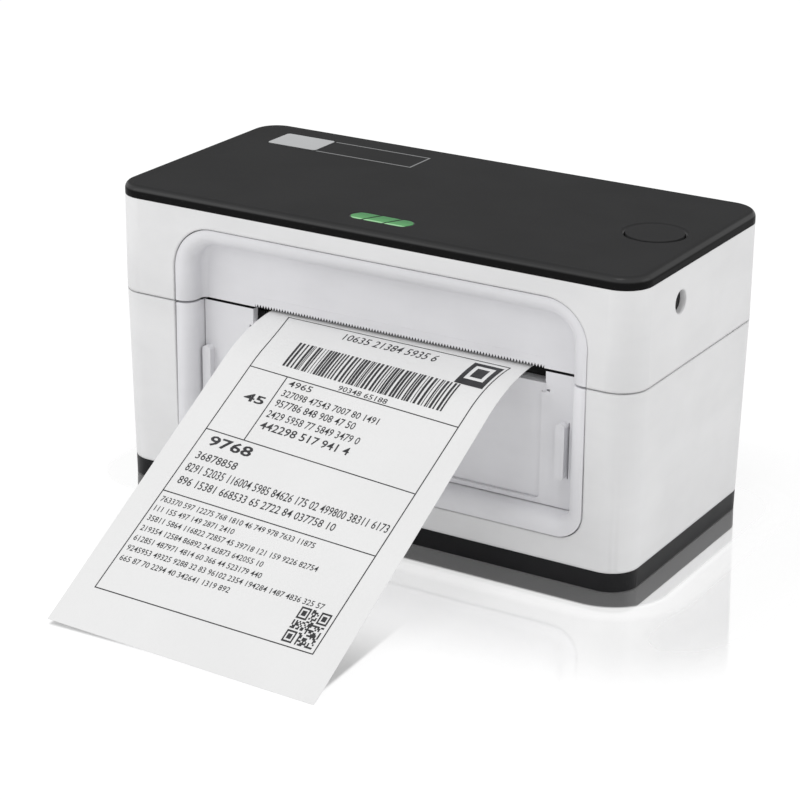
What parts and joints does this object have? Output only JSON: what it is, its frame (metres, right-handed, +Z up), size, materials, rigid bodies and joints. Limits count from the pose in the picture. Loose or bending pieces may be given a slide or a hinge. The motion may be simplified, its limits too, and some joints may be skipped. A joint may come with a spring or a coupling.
{
  "type": "thermal label printer",
  "caption": "Desktop thermal label printer with a hinged cover, recessed front slot with a tear edge, platen drive, sliding media guides and a printed label hanging out of the slot.",
  "frame": {"origin": "centre of the case's footprint on the table, under the foot ring", "axes": "+X to the right as seen from the front, +Y to the rear, +Z up"},
  "size_m": [0.216, 0.229, 0.1163],
  "materials": {
    "white_plastic": "fine satin moulding",
    "white_steel": "satin",
    "dark_plastic": "fine matt moulding",
    "black_plastic": "matt",
    "blue_plastic": "satin",
    "gear_plastic": "satin acetal",
    "rubber": "matt",
    "plated_steel": "zinc plated",
    "bright_steel": "bright",
    "brass": "turned",
    "aluminium": "satin",
    "ceramic": "glazed",
    "board": "lacquered",
    "green_lens": "clear tinted",
    "paper": "smooth coated"
  },
  "bodies": {
    "lower": {"base_tray": "dark_plastic", "foot_ring": "rubber", "base_screws": "bright_steel", "lower_housing": "white_plastic", "lower_bezel": "white_plastic", "lower_panel": "white_plastic", "chassis": "plated_steel", "chassis_screws": "bright_steel", "media_deck": "black_plastic", "gap_sensor": "black_plastic", "platen_bushes": "brass", "idler_stud": "bright_steel", "drive_motor": "plated_steel", "motor_screws": "bright_steel", "pinion_screw": "bright_steel", "main_board": "board", "board_screws": "bright_steel", "usb_port": "plated_steel", "dc_jack": "black_plastic", "switch_frame": "black_plastic", "hinge_pins": "bright_steel", "catch_bars": "bright_steel"},
    "cover": {"upper_housing": "white_plastic", "top_panel": "dark_plastic", "upper_bezel": "white_plastic", "tear_bar": "white_steel", "led_window": "black_plastic", "led_lenses": "green_lens", "badge_plate": "aluminium", "badge_frame": "aluminium", "panel_board": "board", "cover_liner": "black_plastic", "liner_screws": "bright_steel", "head_mount": "plated_steel", "head_springs": "bright_steel", "latch_pins": "bright_steel"},
    "head": {"head_heatsink": "aluminium", "head_strip": "ceramic"},
    "platen": {"platen_shaft": "bright_steel", "platen_roller": "rubber", "platen_gear": "gear_plastic"},
    "idler": {"idler_gear": "gear_plastic"},
    "pinion": {"motor_shaft": "bright_steel", "motor_pinion": "brass"},
    "guide_l": {"guide_left": "blue_plastic"},
    "guide_r": {"guide_right": "blue_plastic"},
    "guide_gear": {"guide_pinion": "gear_plastic"},
    "feed": {"feed_button": "dark_plastic"},
    "release_l": {"release_button_left": "black_plastic"},
    "release_r": {"release_button_right": "black_plastic"},
    "latch_l": {"latch_left": "black_plastic"},
    "latch_r": {"latch_right": "black_plastic"},
    "rocker": {"power_rocker": "black_plastic"},
    "label": {"label_sheet": "paper"}
  },
  "joints": [
    {"name": "cover_hinge", "type": "hinge", "parent": "lower", "child": "cover", "pos_m": [0, 0.048, 0.066], "axis": [-1, 0, 0], "range_deg": [0, 75]},
    {"name": "feed_press", "type": "slide", "parent": "cover", "child": "feed", "axis": [0, 0, -1], "range_m": [0, 0.0008], "stiffness_N_per_m": 1200},
    {"name": "release_left_press", "type": "slide", "parent": "cover", "child": "release_l", "axis": [1, 0, 0], "range_m": [0, 0.0025], "stiffness_N_per_m": 600},
    {"name": "release_right_press", "type": "slide", "parent": "cover", "child": "release_r", "axis": [-1, 0, 0], "range_m": [0, 0.0025], "stiffness_N_per_m": 600},
    {"name": "latch_left_swing", "type": "hinge", "parent": "cover", "child": "latch_l", "pos_m": [-0.09814, -0.018, 0.084], "axis": [0, 1, 0], "range_deg": [0, 9.3]},
    {"name": "latch_right_swing", "type": "hinge", "parent": "cover", "child": "latch_r", "pos_m": [0.09814, -0.018, 0.084], "axis": [0, -1, 0], "range_deg": [0, 9.3]},
    {"name": "head_float", "type": "slide", "parent": "cover", "child": "head", "axis": [0, 0, 1], "range_m": [0, 0.0012], "stiffness_N_per_m": 3000, "deforming": ["head_springs"]},
    {"name": "platen_spin", "type": "hinge", "parent": "lower", "child": "platen", "pos_m": [0.0086, -0.026, 0.0662], "axis": [1, 0, 0], "continuous": true},
    {"name": "idler_spin", "type": "hinge", "parent": "lower", "child": "idler", "pos_m": [-0.06, -0.01619, 0.05604], "axis": [1, 0, 0], "continuous": true},
    {"name": "pinion_spin", "type": "hinge", "parent": "lower", "child": "pinion", "pos_m": [-0.06, -0.00034, 0.04726], "axis": [1, 0, 0], "continuous": true},
    {"name": "guide_left_slide", "type": "slide", "parent": "lower", "child": "guide_l", "axis": [1, 0, 0], "range_m": [0, 0.034]},
    {"name": "guide_right_slide", "type": "slide", "parent": "lower", "child": "guide_r", "axis": [-1, 0, 0], "range_m": [0, 0.034]},
    {"name": "guide_pinion_spin", "type": "hinge", "parent": "lower", "child": "guide_gear", "pos_m": [0.0086, 0.022, 0.0676], "axis": [0, 0, 1], "range_deg": [0, 280]},
    {"name": "power_rock", "type": "hinge", "parent": "lower", "child": "rocker", "pos_m": [-0.066, 0.0484, 0.028], "axis": [1, 0, 0], "range_deg": [0, 18]},
    {"name": "label_pull", "type": "slide", "parent": "lower", "child": "label", "axis": [0, -1, 0], "range_m": [0, 0.03]}
  ],
  "couplings": [
    {"joint": "latch_left_swing", "follows": "release_left_press", "rad_per_m": 64.516},
    {"joint": "latch_right_swing", "follows": "release_right_press", "rad_per_m": 64.516},
    {"joint": "idler_spin", "follows": "platen_spin", "ratio": -1.8},
    {"joint": "pinion_spin", "follows": "platen_spin", "ratio": 4.68},
    {"joint": "guide_right_slide", "follows": "guide_left_slide", "ratio": 1},
    {"joint": "guide_pinion_spin", "follows": "guide_left_slide", "rad_per_m": 142.86}
  ]
}
